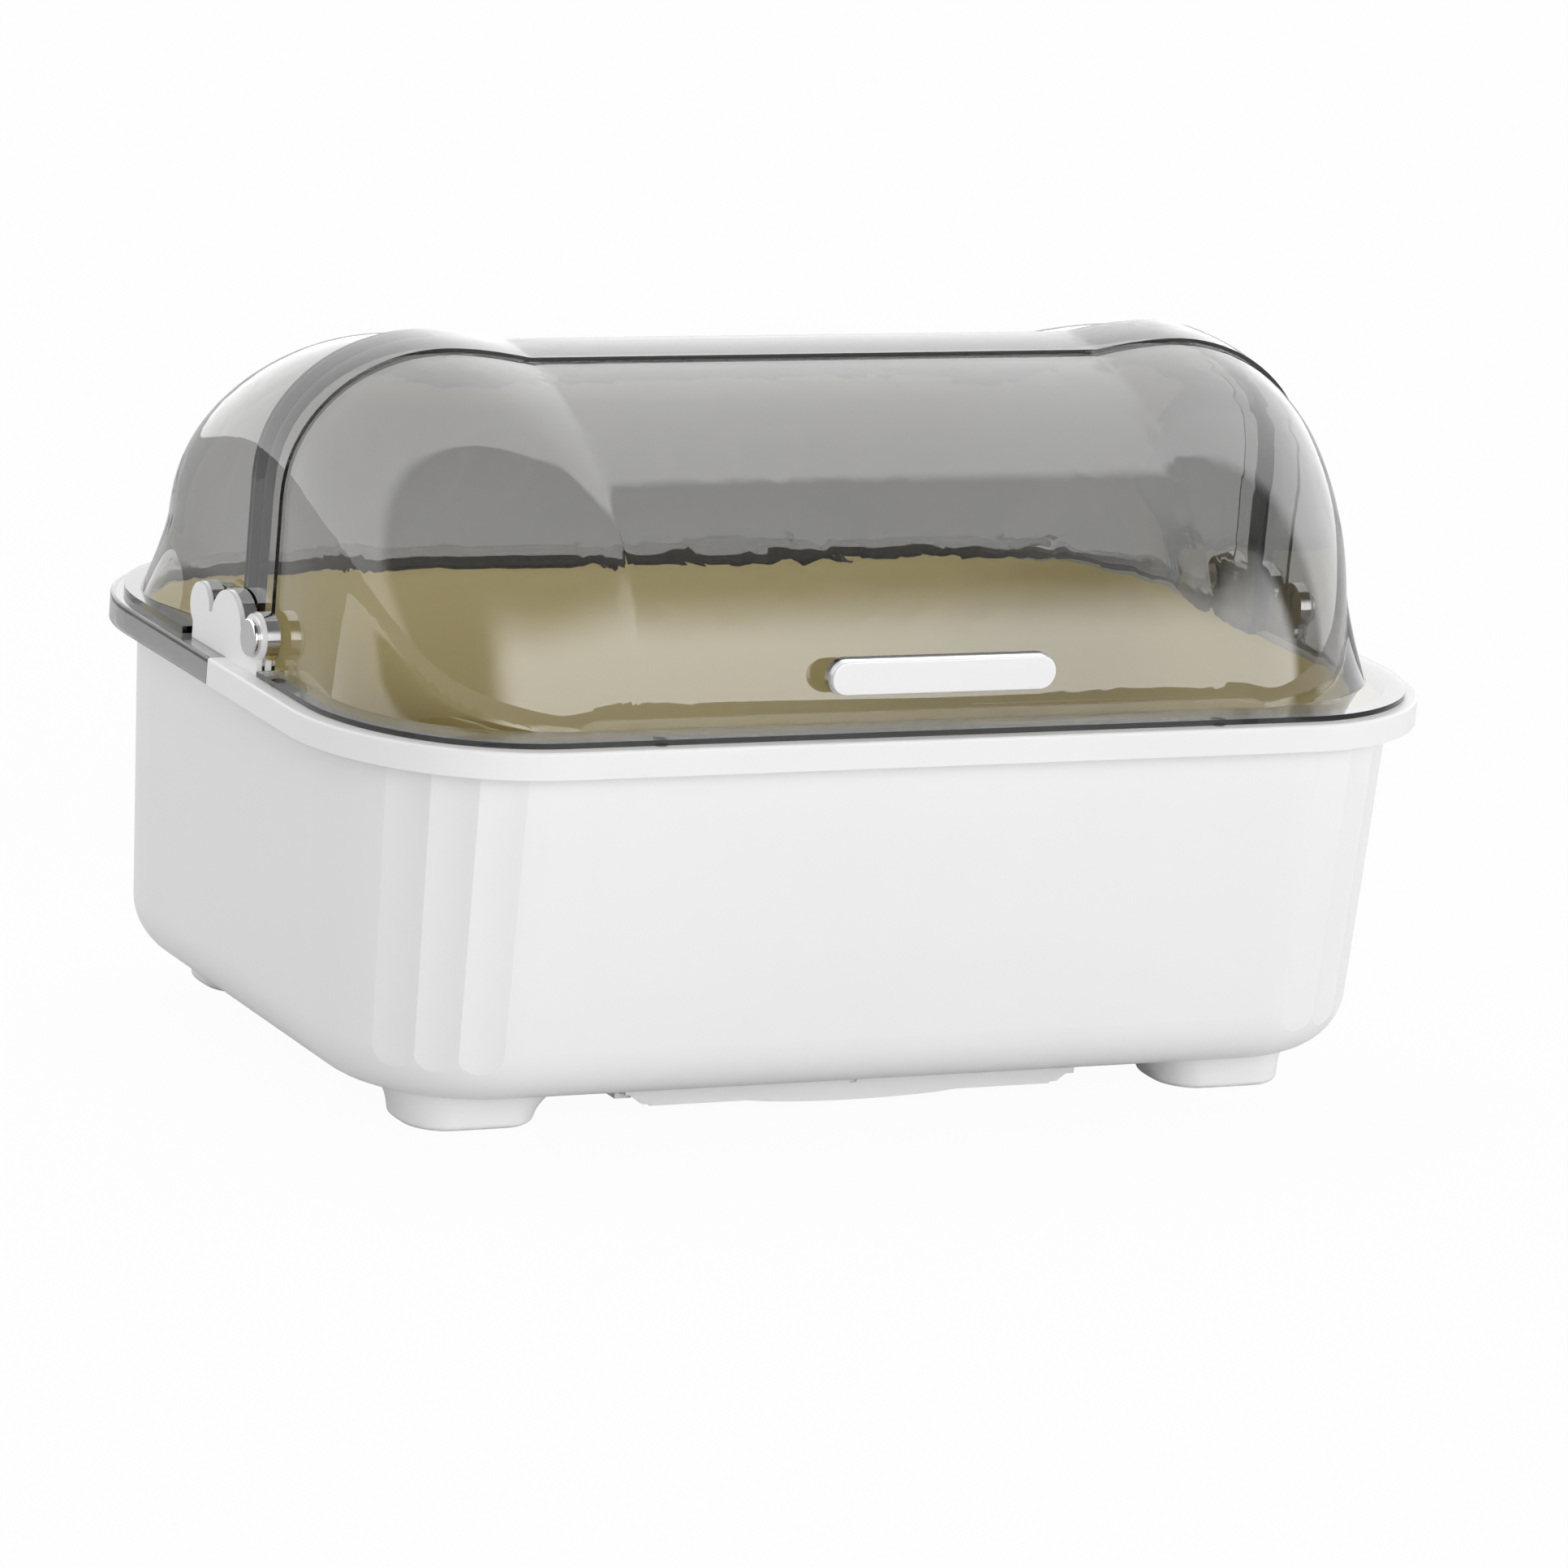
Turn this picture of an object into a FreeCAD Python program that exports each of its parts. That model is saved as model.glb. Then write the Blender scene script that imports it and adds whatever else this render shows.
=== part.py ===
import FreeCAD, Part
import math
import os

# A covered dish drying rack: a white tub on four feet with a drip drawer below it, a drain basket and
# lift-out racks inside, and a smoked clear cover in two halves, of which the front one swings up and back.
# Millimetres, +X to the right, +Y to the back, +Z up, origin on the table under the middle of the tub.

V = FreeCAD.Vector
UP = V(0, 0, 1)
BACK = V(0, 1, 0)
RIGHT = V(1, 0, 0)
FAR = 600.0

# Tub
RIM_WIDTH = 440.0
RIM_DEPTH = 293.0
RIM_CORNER = 73.0
FOOT_HEIGHT = 14.0
TUB_HEIGHT = 133.0
TUB_WALL = 2.4
TUB_BOTTOM_ROUND = 22.0
WALL_DRAFT = 7.0
LIP_HEIGHT = 9.6
LIP_OVERHANG = 9.75
LIP_WALL = 2.2
LIP_EDGE_ROUND = 1.0
FLUTE_COUNT = 3
FLUTE_FIRST_DEG = 35.0
FLUTE_PITCH_DEG = 15.6
FLUTE_RADIUS = 55.0
FLUTE_SINK = 1.1
DRAIN_SLOT_WIDTH = 3.2
DRAIN_SLOT_LENGTH = 56.0
DRAIN_SLOT_GAP = 12.0
DRAIN_SLOT_PITCH = 14.0
DRAIN_SIDE_MARGIN = 30.0

# Cover, both halves
COVER_WALL = 2.0
COVER_RISE = 110.6
COVER_SIDE_INSET = 15.5
COVER_END_INSET = 17.0
COVER_CORNER_STEP = 11.0
COVER_EDGE_WIDTH = 62.0
COVER_EDGE_HEIGHT = 50.0
COVER_LAST_DEG = 86.0
SHOULDER_RISE = 4.0
SHOULDER_WIDTH = 91.0
SHOULDER_BEND = 1.7
FRONT_LEAN = 12.0
FRONT_GROWTH = 1.2
FRONT_SPREAD = 60.0
REAR_CORNER_STEP = 3.0
REAR_GROWTH = 0.0
REAR_SPREAD = -20.0
REAR_FLARE = 10.3
FLARE_HEIGHT = 31.0
FLARE_START = 36.0
FLARE_REACH = 46.0
LEAN_START = 30.0
LEAN_REACH = 70.0
NEST_GAP = 0.5
COLLAR_RAISE = 1.4
COLLAR_WIDTH = 22.0
COLLAR_OVERLAP = 3.0
TONGUE_LENGTH = 6.0
TONGUE_BAND = 16.0
TONGUE_THICKEN = 1.2
FLANGE_SIDE_INSET = 5.2
FLANGE_END_INSET = 3.3
FLANGE_CORNER_STEP = 4.5
FLANGE_THICK = 2.0
LEDGE_THICK = 2.2
LEDGE_GAP = 0.2
SKIRT_THICK = 2.0
SKIRT_GAP = 0.6
SEAM_Y = -2.0
SEAM_GAP = 0.3
BUMPER_HEIGHT = 0.6
BUMPER_RADIUS = 2.6
BUMPER_MARGIN = 0.6
BUMPER_SIDE_STEP = 12.0
BUMPER_FRONT_X = 110.0

# Hinge
LOBE_OFFSET = 24.0
LOBE_HEIGHT = 12.5
LOBE_RADIUS = 9.0
HUMP_RADIUS = 14.0
HUMP_HEIGHT = 10.0
HINGE_FOOT = 29.5
HINGE_GAP = 0.6
HINGE_BLOCK_THICK = 4.8
HINGE_FACE_THICK = 1.8
HINGE_FACE_MARGIN = 0.6
BUTTON_RADIUS = 6.8
BUTTON_THICK = 2.2
BUTTON_ROUND = 0.8
EAR_MARGIN = 1.0
EAR_ROOT = 10.0
PIN_RADIUS = 2.5
PIN_PLAY = 0.06
RING_RADIUS = 5.0
RING_THICK = 2.0
RING_GAP = 0.3
PIN_PROUD = 1.8
LUG_WIDTH = 11.0
LUG_COVER = 4.5
LUG_GAP = 0.15
SWING_GAP = 0.6

# Handle on the front cover
HANDLE_LENGTH = 88.0
HANDLE_HEIGHT = 12.0
HANDLE_BAR_THICK = 2.2
HANDLE_BAR_ROUND = 0.6
HANDLE_RIM_THICK = 2.8
HANDLE_RIM_MARGIN = 0.75
HANDLE_LEVEL = 20.6
HANDLE_FACE_INSET = 8.5
POST_SPACING = 48.0
POST_RADIUS = 3.6
LINK_LENGTH = 60.0
LINK_HEIGHT = 9.0
LINK_THICK = 1.6
CENTRE_PAD_WIDTH = 18.0
CENTRE_PAD_HEIGHT = 5.0

# Screws
SCREW_RADIUS = 1.5
SCREW_HEAD_RADIUS = 2.8
SCREW_HEAD_THICK = 1.8
SCREW_END_WALL = 0.6
FOOT_SCREW_RADIUS = 2.0
FOOT_SCREW_HEAD_RADIUS = 3.8
FOOT_SCREW_HEAD_THICK = 2.4
RAIL_SCREW_RADIUS = 0.9
RAIL_SCREW_HEAD_RADIUS = 1.5
RAIL_SCREW_HEAD_THICK = 1.0

# Feet
FOOT_SIDE_INSET = 70.0
FOOT_END_INSET = 58.5
FOOT_LENGTH = 50.0
FOOT_DEPTH = 37.0
FOOT_CORNER = 15.0
FOOT_FLARE = 20.0
FOOT_INWARD_SHIFT = 5.0
FOOT_ROOT = 4.0
PAD_RADIUS = 12.0
PAD_THICK = 2.6
PAD_PROUD = 1.0
PAD_CHAMFER = 0.4
FOOT_WELL_DEPTH = 5.0
FOOT_WELL_MARGIN = 0.8
BOSS_RADIUS = 5.0
BOSS_HEIGHT = 4.0

# Drip drawer and its rails
TRAY_WIDTH = 180.0
TRAY_FRONT_INSET = 50.0
TRAY_BACK_INSET = 47.0
TRAY_HEADROOM = 5.0
TRAY_CLEARANCE = 1.2
TRAY_WALL = 1.3
TRAY_FLANGE = 6.0
TRAY_SIDE_LEAN = 4.0
TRAY_LIP_STEP = 0.7
TRAY_LIP_LEAN = 7.0
PULL_WIDTH = 84.0
PULL_DROP = 2.2
SCOOP_WIDTH = 67.0
SCOOP_DEPTH = 1.1
NOTCH_WIDTH = 3.0
NOTCH_DEPTH = 1.0
RAIL_GAP = 0.4
RAIL_THICK = 1.8
RAIL_LIP = 4.6
RAIL_FOOT = 7.2
RAIL_FRONT_STEP = 4.0
RAIL_STOP_GAP = 2.0
RAIL_SCREW_SPACING = 140.0

# Drain basket
BASKET_GAP = 1.0
BASKET_WALL = 1.8
BASKET_TOP_DROP = 3.6
BASKET_FLOOR_RISE = 8.0
BASKET_BOTTOM_ROUND = 16.0
BASKET_LEG_RADIUS = 5.0
BASKET_SLOT_WIDTH = 3.4
BASKET_SLOT_PITCH = 13.0
BASKET_SLOT_ROWS = 3
BASKET_ROW_GAP = 12.0
BASKET_SIDE_MARGIN = 44.0
BASKET_END_MARGIN = 21.0

# Racks on the basket floor
RACK_BASE = 3.0
RACK_SIDE_GAP = 12.5
RACK_END_GAP = 11.0
RACK_MIDDLE_GAP = 8.0
RACK_SPLIT_GAP = 18.0
RACK_CORNER = 12.0
RACK_SLOT_WIDTH = 3.4
RACK_SLOT_SHARE = 0.36
DIVIDER_THICK = 3.0
DIVIDER_END_STEP = 6.0
DIVIDER_FIRST_STEP = 12.0
DIVIDER_ARCH_SHARE = 0.4
PLATE_DIVIDERS = 12
PLATE_DIVIDER_HEIGHT = 50.0
BOWL_DIVIDERS = 5
BOWL_DIVIDER_HEIGHT = 34.0
CADDY_WIDTH = 92.0
CADDY_HEIGHT = 86.0
CADDY_WALL = 1.8
CADDY_CORNER = 14.0
CADDY_SLOT_PITCH = 15.0
CADDY_SLOT_COLUMNS = 5
CADDY_DIVIDER_DROP = 17.0

# Levels that follow
TUB_BASE = FOOT_HEIGHT
FLOOR_TOP = TUB_BASE + TUB_WALL
RIM_TOP = TUB_BASE + TUB_HEIGHT
LIP_BASE = RIM_TOP - LIP_HEIGHT
REAR_BASE = RIM_TOP - LEDGE_THICK
FRONT_BASE = RIM_TOP + BUMPER_HEIGHT
FLANGE_TOP = FRONT_BASE + FLANGE_THICK
HINGE_Z = RIM_TOP + LOBE_HEIGHT
HANDLE_Z = RIM_TOP + HANDLE_LEVEL
BASKET_FLOOR = FLOOR_TOP + BASKET_FLOOR_RISE
RACK_FLOOR = BASKET_FLOOR + BASKET_WALL
RACK_TOP = RACK_FLOOR + RACK_BASE
TRAY_TOP = TUB_BASE - TRAY_HEADROOM
TRAY_BOTTOM = TRAY_CLEARANCE + PULL_DROP

# Places that follow
RIM_X = RIM_WIDTH / 2
RIM_Y = RIM_DEPTH / 2
COVER_X = RIM_X - COVER_SIDE_INSET
COVER_Y = RIM_Y - COVER_END_INSET
COVER_CORNER = RIM_CORNER - COVER_CORNER_STEP
FRONT_FORM = (COVER_CORNER, FRONT_LEAN, FRONT_GROWTH, FRONT_SPREAD, 0.0)
REAR_FORM = (COVER_CORNER - REAR_CORNER_STEP, 0.0, REAR_GROWTH, REAR_SPREAD, REAR_FLARE)
REAR_STEP = COVER_WALL + NEST_GAP
REAR_X = COVER_X - REAR_STEP
EAR_RADIUS = LOBE_RADIUS - EAR_MARGIN
HINGE_INNER_X = COVER_X + COLLAR_RAISE + HINGE_GAP
HINGE_OUTER_X = HINGE_INNER_X + HINGE_BLOCK_THICK
SWING_REACH = 2 * LOBE_OFFSET + LOBE_RADIUS + SWING_GAP
FRONT_FLANGE_START = math.sqrt(SWING_REACH ** 2 - (HINGE_Z - FLANGE_TOP) ** 2) - LOBE_OFFSET
REAR_FLANGE_START = LOBE_OFFSET + LOBE_RADIUS + SWING_GAP
HANDLE_FACE = -RIM_Y + HANDLE_FACE_INSET
HANDLE_RIM_FACE = HANDLE_FACE + HANDLE_BAR_THICK
HANDLE_BACK = HANDLE_RIM_FACE + HANDLE_RIM_THICK
HANDLE_SCREW_TIP = HANDLE_RIM_FACE + SCREW_END_WALL
POST_PLACES = (-POST_SPACING / 2, POST_SPACING / 2)
FOOT_X = RIM_X - FOOT_SIDE_INSET
FOOT_Y = RIM_Y - FOOT_END_INSET
FOOT_PLACES = [(x, y) for y in (-FOOT_Y, FOOT_Y) for x in (-FOOT_X, FOOT_X)]
TRAY_FRONT = -RIM_Y + TRAY_FRONT_INSET
TRAY_BACK = RIM_Y - TRAY_BACK_INSET
RAIL_WEB = TRAY_WIDTH / 2 + RAIL_GAP
RAIL_SCREW_X = RAIL_WEB + RAIL_THICK + (RAIL_FOOT - RAIL_THICK) / 2
RAIL_SCREW_PLACES = [(x, y) for x in (-RAIL_SCREW_X, RAIL_SCREW_X)
                     for y in (-RAIL_SCREW_SPACING / 2, RAIL_SCREW_SPACING / 2)]


def wall_inset(z):
    """How far the outside of the tub wall stands in from the rim edge at a level."""
    return LIP_OVERHANG + WALL_DRAFT * (RIM_TOP - z) / TUB_HEIGHT


BASKET_INSET = wall_inset(RACK_FLOOR) + TUB_WALL + BASKET_GAP + BASKET_BOTTOM_ROUND
BASKET_FLOOR_X = RIM_X - BASKET_INSET
BASKET_FLOOR_Y = RIM_Y - BASKET_INSET
RACK_X = BASKET_FLOOR_X - RACK_SIDE_GAP
RACK_Y = BASKET_FLOOR_Y - RACK_END_GAP
RACK_MIDDLE = RACK_MIDDLE_GAP / 2
CADDY_X = RACK_X - CADDY_WIDTH
BOWL_RACK_X = CADDY_X - RACK_SPLIT_GAP


def save(name, pieces):
    """Write one sub-part, a single solid or a group of separate ones."""
    solids = [solid for piece in pieces for solid in piece.Solids]
    shape = solids[0] if len(solids) == 1 else Part.makeCompound(solids)
    if not shape.isValid():
        print("not valid:", name)
    shape.exportStep("parts/%s.step" % name)
    print("%-20s %2d solids %10.1f mm3" % (name, len(solids), shape.Volume))


def box(x0, y0, z0, x1, y1, z1):
    """A block between two opposite corners."""
    return Part.makeBox(x1 - x0, y1 - y0, z1 - z0, V(x0, y0, z0))


def rod(start, axis, length, radius):
    """A round bar from a point along an axis."""
    return Part.makeCylinder(radius, length, start, axis)


def outline(half_x, half_y, radius, z, centre=(0.0, 0.0)):
    """A closed rounded rectangle in plan."""
    edges = []
    first = last = None
    for turn in range(4):
        sign_x, sign_y = ((1, 1), (-1, 1), (-1, -1), (1, -1))[turn]
        middle = V(centre[0] + sign_x * (half_x - radius), centre[1] + sign_y * (half_y - radius), z)
        angles = [math.radians(90 * turn + step) for step in (0, 45, 90)]
        points = [middle + V(math.cos(angle), math.sin(angle), 0) * radius for angle in angles]
        if first is None:
            first = points[0]
        elif last.distanceToPoint(points[0]) > 1e-6:
            edges.append(Part.LineSegment(last, points[0]).toShape())
        edges.append(Part.Arc(*points).toShape())
        last = points[2]
    if last.distanceToPoint(first) > 1e-6:
        edges.append(Part.LineSegment(last, first).toShape())
    return Part.Wire(edges)


def slab(half_x, half_y, radius, z0, z1, centre=(0.0, 0.0)):
    """A flat plate with rounded corners."""
    return Part.Face(outline(half_x, half_y, radius, z0, centre)).extrude(UP * (z1 - z0))


def rim_slab(inset, z0, z1):
    """A plate that follows the rim's outline, drawn in by an inset."""
    return slab(RIM_X - inset, RIM_Y - inset, RIM_CORNER - inset, z0, z1)


def rounded_block(x0, y0, x1, y1, radius, z0, z1):
    """A block with rounded upright corners, by its edges in plan."""
    centre = ((x0 + x1) / 2, (y0 + y1) / 2)
    return slab((x1 - x0) / 2, (y1 - y0) / 2, radius, z0, z1, centre)


def slot(x, y, width, length, z0, z1):
    """A cutter for one round-ended slot that runs from front to back."""
    half_x, half_y = width / 2, length / 2
    return rounded_block(x - half_x, y - half_y, x + half_x, y + half_y, half_x - 0.01, z0, z1)


def spread(count, pitch):
    """Places at an even pitch about nought."""
    return [(index - (count - 1) / 2) * pitch for index in range(count)]


def mirrored(shape, side):
    """The same piece on the left (-1) or the right (+1)."""
    return shape if side > 0 else shape.mirror(V(0, 0, 0), RIGHT)


def edges_at(shape, z):
    """The edges of a shape that lie at one level."""
    bounds = [(edge, edge.BoundBox) for edge in shape.Edges]
    return [edge for edge, bound in bounds if abs(bound.ZMin - z) < 0.01 and abs(bound.ZMax - z) < 0.01]


def largest(shape):
    return max(shape.Solids, key=lambda solid: solid.Volume)


def skin(sections, parameters):
    """One smooth face through sections that are each given by the same number of control points. The knots
    across follow the mean distances between the points, so that the face runs at an even rate."""
    rows = []
    for row in zip(*sections):
        curve = Part.BSplineCurve()
        curve.interpolate(Points=list(row), Parameters=parameters)
        rows.append(curve)
    count = len(rows)
    poles = [row.getPoles() for row in rows]
    repeats = [4] + [1] * (count - 4) + [4]
    places = [0.0]
    for index in range(1, count):
        steps = [section[index].distanceToPoint(section[index - 1]) for section in sections]
        places.append(places[-1] + sum(steps) / len(steps))
    knots = places[:1] + places[2:-2] + places[-1:]
    surface = Part.BSplineSurface()
    surface.buildFromPolesMultsKnots(poles, repeats, rows[0].getMultiplicities(), knots,
                                     rows[0].getKnots(), False, False, 3, 3)
    return surface.toShape()


def closed_solid(faces):
    """A solid from the faces that bound it."""
    shell = Part.makeShell(faces)
    shell.sewShape()
    solid = Part.makeSolid(shell)
    if solid.Volume < 0:
        solid.reverse()
    return solid


def tapered(z0, z1, inset, bottom_round):
    """The tub's outside between two levels, drawn in by an inset, with its lower edge rounded."""
    wires = []
    for z in (z0, z1):
        step = wall_inset(z) + inset
        wires.append(outline(RIM_X - step, RIM_Y - step, RIM_CORNER - step, z))
    solid = Part.makeLoft(wires, True, True)
    return solid.makeFillet(bottom_round, edges_at(solid, z0))


# Tub


def flute_cutters():
    """Round bars that lean with the wall and scoop the flutes out of the four corners."""
    lean = WALL_DRAFT / TUB_HEIGHT
    reach = RIM_CORNER - wall_inset(TUB_BASE) + FLUTE_RADIUS - FLUTE_SINK
    cutters = []
    for side_x in (-1, 1):
        for side_y in (-1, 1):
            corner = V(side_x * (RIM_X - RIM_CORNER), side_y * (RIM_Y - RIM_CORNER), TUB_BASE)
            for index in range(FLUTE_COUNT):
                angle = math.radians(FLUTE_FIRST_DEG + FLUTE_PITCH_DEG * (index + 0.5))
                out = V(side_x * math.cos(angle), side_y * math.sin(angle), 0)
                cutters.append(rod(corner + out * reach, out * lean + UP, LIP_BASE - TUB_BASE, FLUTE_RADIUS))
    return cutters


def make_rim():
    """The turned-out rim. Its back half stands in and down, so that the rear cover's skirt is flush."""
    front = rim_slab(0.0, LIP_BASE, RIM_TOP)
    front = front.makeFillet(LIP_EDGE_ROUND, edges_at(front, RIM_TOP))
    front = front.common(box(-FAR, -FAR, 0, FAR, SEAM_Y, FAR))
    hollow = rim_slab(LIP_WALL, LIP_BASE - 1, RIM_TOP - TUB_WALL)
    front = front.cut(hollow.common(box(-FAR, -FAR, 0, FAR, SEAM_Y - LIP_WALL, FAR)))
    inset = SKIRT_THICK + SKIRT_GAP
    top = REAR_BASE - LEDGE_GAP
    back = rim_slab(inset, LIP_BASE, top)
    back = back.cut(rim_slab(inset + LIP_WALL, LIP_BASE - 1, top - TUB_WALL))
    return [front, back.common(box(-FAR, SEAM_Y, 0, FAR, FAR, FAR))]


def hinge_lug(side):
    """An upright tongue of the tub wall that the hinge block slips over."""
    outer = RIM_X - LIP_OVERHANG
    half = LUG_WIDTH / 2
    top = HINGE_Z + LOBE_RADIUS - LUG_COVER
    lug = box(outer - TUB_WALL, -LOBE_OFFSET - half, RIM_TOP - TUB_WALL, outer, -LOBE_OFFSET + half, top)
    return mirrored(lug, side)


def make_tub():
    body = tapered(TUB_BASE, RIM_TOP, 0.0, TUB_BOTTOM_ROUND)
    body = body.cut(box(-FAR, SEAM_Y, REAR_BASE - LEDGE_GAP, FAR, FAR, FAR))
    body = body.cut(Part.makeCompound(flute_cutters()))
    inner = tapered(FLOOR_TOP, RIM_TOP + 5, TUB_WALL, TUB_BOTTOM_ROUND - TUB_WALL)
    tub = body.fuse(make_rim()).cut(inner)
    bosses = [rod(V(x, y, TUB_BASE + 1), UP, TUB_WALL - 1 + BOSS_HEIGHT, BOSS_RADIUS) for x, y in FOOT_PLACES]
    tub = tub.fuse(bosses + [hinge_lug(side) for side in (-1, 1)])
    holes = []
    columns = 2 * int((TRAY_WIDTH / 2 - DRAIN_SIDE_MARGIN) / DRAIN_SLOT_PITCH) + 1
    for x in spread(columns, DRAIN_SLOT_PITCH):
        for y in spread(2, DRAIN_SLOT_LENGTH + DRAIN_SLOT_GAP):
            holes.append(slot(x, y, DRAIN_SLOT_WIDTH, DRAIN_SLOT_LENGTH, TUB_BASE - 1, FLOOR_TOP + 1))
    depth = TUB_WALL + BOSS_HEIGHT - SCREW_END_WALL
    for x, y in FOOT_PLACES:
        holes.append(rod(V(x, y, TUB_BASE), UP, depth, FOOT_SCREW_RADIUS))
    for x, y in RAIL_SCREW_PLACES:
        holes.append(rod(V(x, y, TUB_BASE), UP, TUB_WALL - SCREW_END_WALL, RAIL_SCREW_RADIUS))
    for side in (-1, 1):
        start = V(side * (RIM_X - LIP_OVERHANG + 1), -LOBE_OFFSET, HINGE_Z)
        holes.append(rod(start, RIGHT * -side, TUB_WALL + 2, SCREW_RADIUS))
    return tub.cut(Part.makeCompound(holes)).removeSplitter()


# Feet


def foot_loop(half_x, half_y, radius, level, centre):
    """Control points round a foot at one level, from the middle of one side back to the same place."""
    middle = V(centre[0], centre[1], level)
    points = [middle + V(half_x, 0, 0)]
    for sign_x, sign_y, start in ((1, 1, 0), (-1, 1, 90), (-1, -1, 180), (1, -1, 270)):
        corner = middle + V(sign_x * (half_x - radius), sign_y * (half_y - radius), 0)
        for turn in range(0, 91, 15):
            angle = math.radians(start + turn)
            points.append(corner + V(math.cos(angle), math.sin(angle), 0) * radius)
    points.append(points[0])
    return points


def make_foot(x, y):
    """A foot with a rounded lower edge that flares up into the rounded underside of the tub."""
    side_x, side_y = math.copysign(1, x), math.copysign(1, y)
    rise = TUB_BASE - PAD_PROUD
    # Share of the height, growth in width and share of the inward shift
    profile = [(0.0, -3.0, 0.0), (0.055, -0.8, 0.0), (0.19, 1.0, 0.03), (0.5, 0.2 * FOOT_FLARE, 0.22),
               (0.77, 0.45 * FOOT_FLARE, 0.5), (1.0, 0.7 * FOOT_FLARE, 0.75),
               (1.0 + FOOT_ROOT / rise, FOOT_FLARE, 1.0)]
    sections = []
    for share, grow, shift in profile:
        centre = (x - side_x * FOOT_INWARD_SHIFT * shift, y - side_y * FOOT_INWARD_SHIFT * shift)
        half_x, half_y = (FOOT_LENGTH + grow) / 2, (FOOT_DEPTH + grow) / 2
        sections.append(foot_loop(half_x, half_y, FOOT_CORNER + grow / 2, PAD_PROUD + rise * share, centre))
    side = skin(sections, [share for share, grow, shift in profile])
    rims = [edge for edge in side.Edges if edge.BoundBox.ZLength < 1e-3]
    foot = closed_solid([side] + [Part.Face(Part.Wire([edge])) for edge in rims])
    foot = largest(foot.cut(tapered(TUB_BASE, RIM_TOP, 0.0, TUB_BOTTOM_ROUND)))
    well = PAD_THICK + FOOT_WELL_DEPTH
    return foot.cut([
        rod(V(x, y, 0), UP, PAD_THICK, PAD_RADIUS),
        rod(V(x, y, 0), UP, well, FOOT_SCREW_HEAD_RADIUS + FOOT_WELL_MARGIN),
        rod(V(x, y, 0), UP, TUB_BASE, FOOT_SCREW_RADIUS),
    ])


def make_foot_screw(x, y):
    seat = PAD_THICK + FOOT_WELL_DEPTH
    tip = FLOOR_TOP + BOSS_HEIGHT - 2 * SCREW_END_WALL
    head = rod(V(x, y, seat - FOOT_SCREW_HEAD_THICK), UP, FOOT_SCREW_HEAD_THICK, FOOT_SCREW_HEAD_RADIUS)
    return head.fuse(rod(V(x, y, seat), UP, tip - seat, FOOT_SCREW_RADIUS))


def make_pad(x, y):
    pad = rod(V(x, y, 0), UP, PAD_THICK, PAD_RADIUS)
    return pad.makeChamfer(PAD_CHAMFER, edges_at(pad, 0.0))


# Drip drawer


def trapezium(y0, y1, top, bottom, half_top, half_bottom):
    """A block with slanted ends between two depths."""
    points = [V(-half_top, y0, top), V(half_top, y0, top), V(half_bottom, y0, bottom),
              V(-half_bottom, y0, bottom), V(-half_top, y0, top)]
    return Part.Face(Part.makePolygon(points)).extrude(BACK * (y1 - y0))


def arc_radius(width, rise):
    """The radius of the arc that has a width and a rise."""
    return (width ** 2 / 4 + rise ** 2) / (2 * rise)


def make_tray():
    half = TRAY_WIDTH / 2 - TRAY_FLANGE
    low = half - TRAY_SIDE_LEAN
    front_inner = TRAY_FRONT + 2 * TRAY_WALL
    body = trapezium(TRAY_FRONT, TRAY_BACK, TRAY_TOP, TRAY_BOTTOM, half, low)
    cavity = trapezium(front_inner, TRAY_BACK - TRAY_WALL, TRAY_TOP + 1, TRAY_BOTTOM + TRAY_WALL,
                       half - TRAY_WALL, low - TRAY_WALL)
    flanges = box(-TRAY_WIDTH / 2, TRAY_FRONT, TRAY_TOP - TRAY_WALL, TRAY_WIDTH / 2, TRAY_BACK, TRAY_TOP)
    lip_half = TRAY_WIDTH / 2
    lip = trapezium(TRAY_FRONT, front_inner, TRAY_TOP, TRAY_BOTTOM + TRAY_LIP_STEP, lip_half,
                    lip_half - TRAY_LIP_LEAN)
    # The finger pull: the front edge dips in a shallow arc, and its face is hollowed a little
    radius = arc_radius(PULL_WIDTH, PULL_DROP)
    arc = rod(V(0, TRAY_FRONT, TRAY_BOTTOM - PULL_DROP + radius), BACK, 2 * TRAY_WALL, radius)
    pull = arc.common(box(-FAR, TRAY_FRONT, 0, FAR, front_inner, TRAY_BOTTOM + TRAY_WALL))
    radius = arc_radius(SCOOP_WIDTH, SCOOP_DEPTH)
    scoop = rod(V(0, TRAY_FRONT + SCOOP_DEPTH - radius, 0), UP, TRAY_TOP - TRAY_WALL, radius)
    notch = box(-NOTCH_WIDTH / 2, TRAY_FRONT - 1, TRAY_TOP - NOTCH_DEPTH, NOTCH_WIDTH / 2, TRAY_FRONT + 1,
                TRAY_TOP + 1)
    return body.fuse([flanges, lip, pull]).cut([cavity, scoop, notch]).removeSplitter()


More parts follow.
